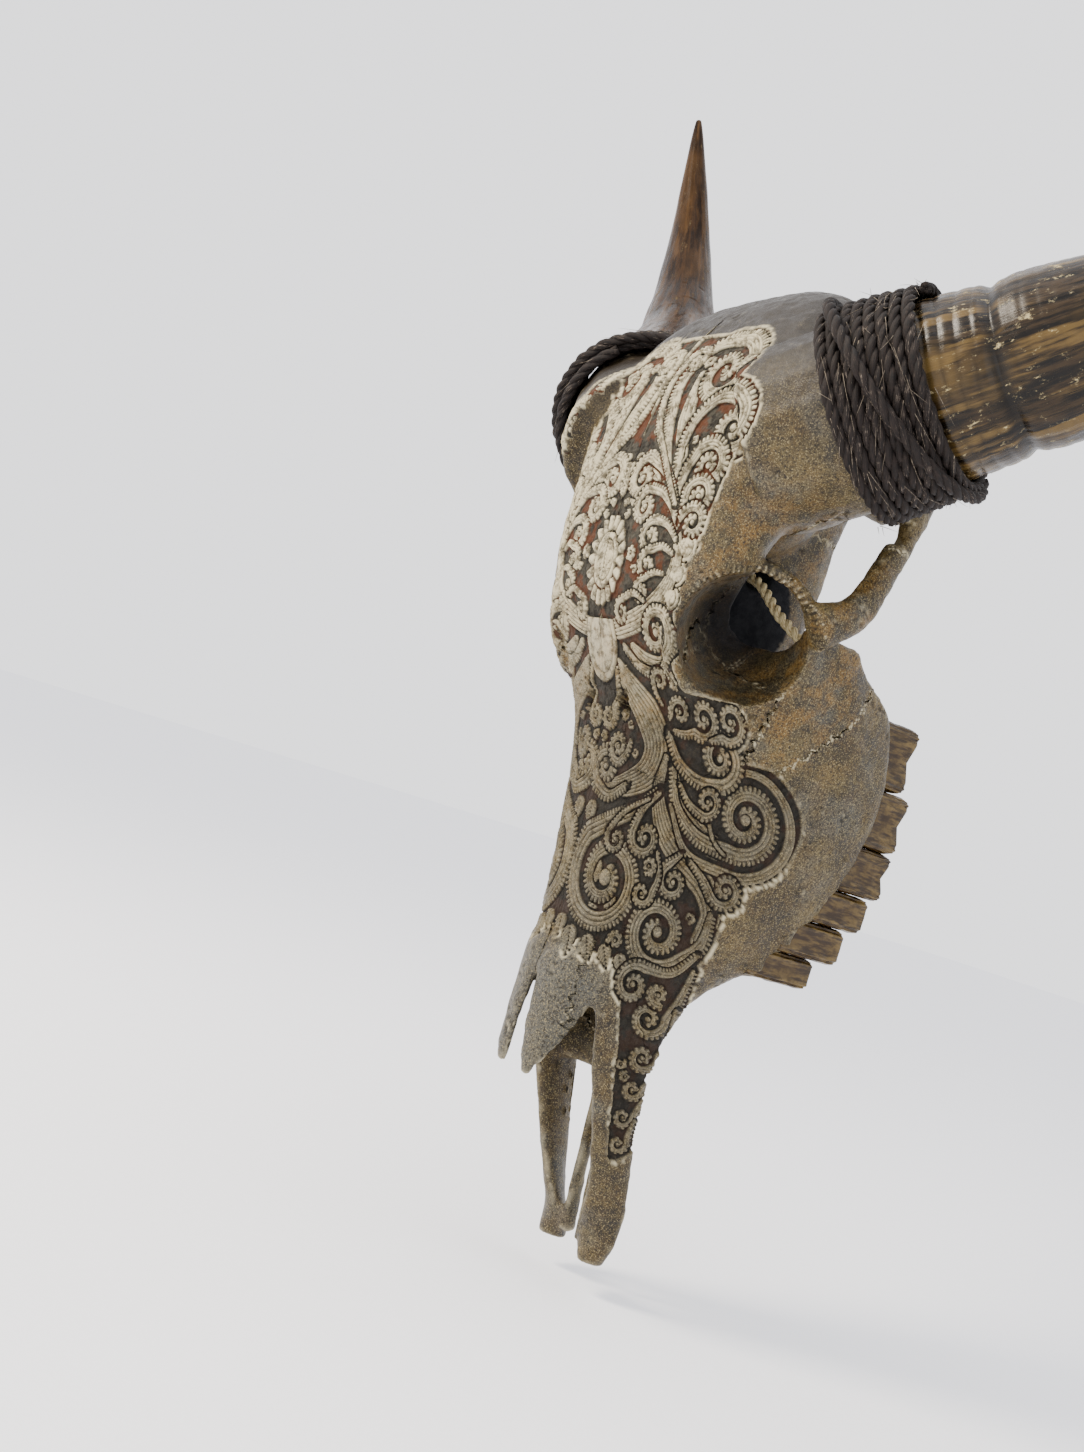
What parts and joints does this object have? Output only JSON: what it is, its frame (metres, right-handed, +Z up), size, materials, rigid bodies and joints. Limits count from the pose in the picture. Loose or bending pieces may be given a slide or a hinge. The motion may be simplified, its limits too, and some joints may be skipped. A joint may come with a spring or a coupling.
{
  "type": "carved ox skull wall ornament",
  "caption": "Dry ox skull with sheathed horns bound by rope, carved face bones and a hanging cord, made to hang nose down on a wall.",
  "frame": {"origin": "the wall hook that the hanging cord's eye hangs on, in the plane of the wall", "axes": "+Z up, from the muzzle to the poll; +X the animal's left; +Y into the wall, so the face looks along -Y"},
  "size_m": [0.7208, 0.1993, 0.7461],
  "materials": {
    "bone": "waxed dry bone, smoke-stained olive brown",
    "carved_bone": "bone carved in relief, grey ridges and rust-brown grooves",
    "enamel": "stained cheek teeth, ridged",
    "horn": "polished dark horn with pale flakes",
    "palm_rope": "laid palm fibre rope, near black",
    "cotton_cord": "twisted cream cotton cord"
  },
  "bodies": {
    "root": {"frontal_bone": "carved_bone", "left_nasal_bone": "carved_bone", "right_nasal_bone": "carved_bone", "left_lacrimal_bone": "carved_bone", "right_lacrimal_bone": "carved_bone", "left_maxilla": "carved_bone", "right_maxilla": "carved_bone", "left_premaxilla": "carved_bone", "right_premaxilla": "carved_bone", "left_zygomatic_bone": "bone", "right_zygomatic_bone": "bone", "left_temporal_bone": "bone", "right_temporal_bone": "bone", "sphenoid_bone": "bone", "occipital_bone": "bone", "vomer": "bone", "left_premolar_2": "enamel", "right_premolar_2": "enamel", "left_premolar_3": "enamel", "right_premolar_3": "enamel", "left_premolar_4": "enamel", "right_premolar_4": "enamel", "left_molar_1": "enamel", "right_molar_1": "enamel", "left_molar_2": "enamel", "right_molar_2": "enamel", "left_molar_3": "enamel", "right_molar_3": "enamel", "left_horn_sheath": "horn", "right_horn_sheath": "horn", "left_horn_lashing": "palm_rope", "right_horn_lashing": "palm_rope", "hanging_cord": "cotton_cord", "hook_eye": "cotton_cord", "hook_knot": "cotton_cord", "socket_knot": "cotton_cord"}
  },
  "joints": []
}
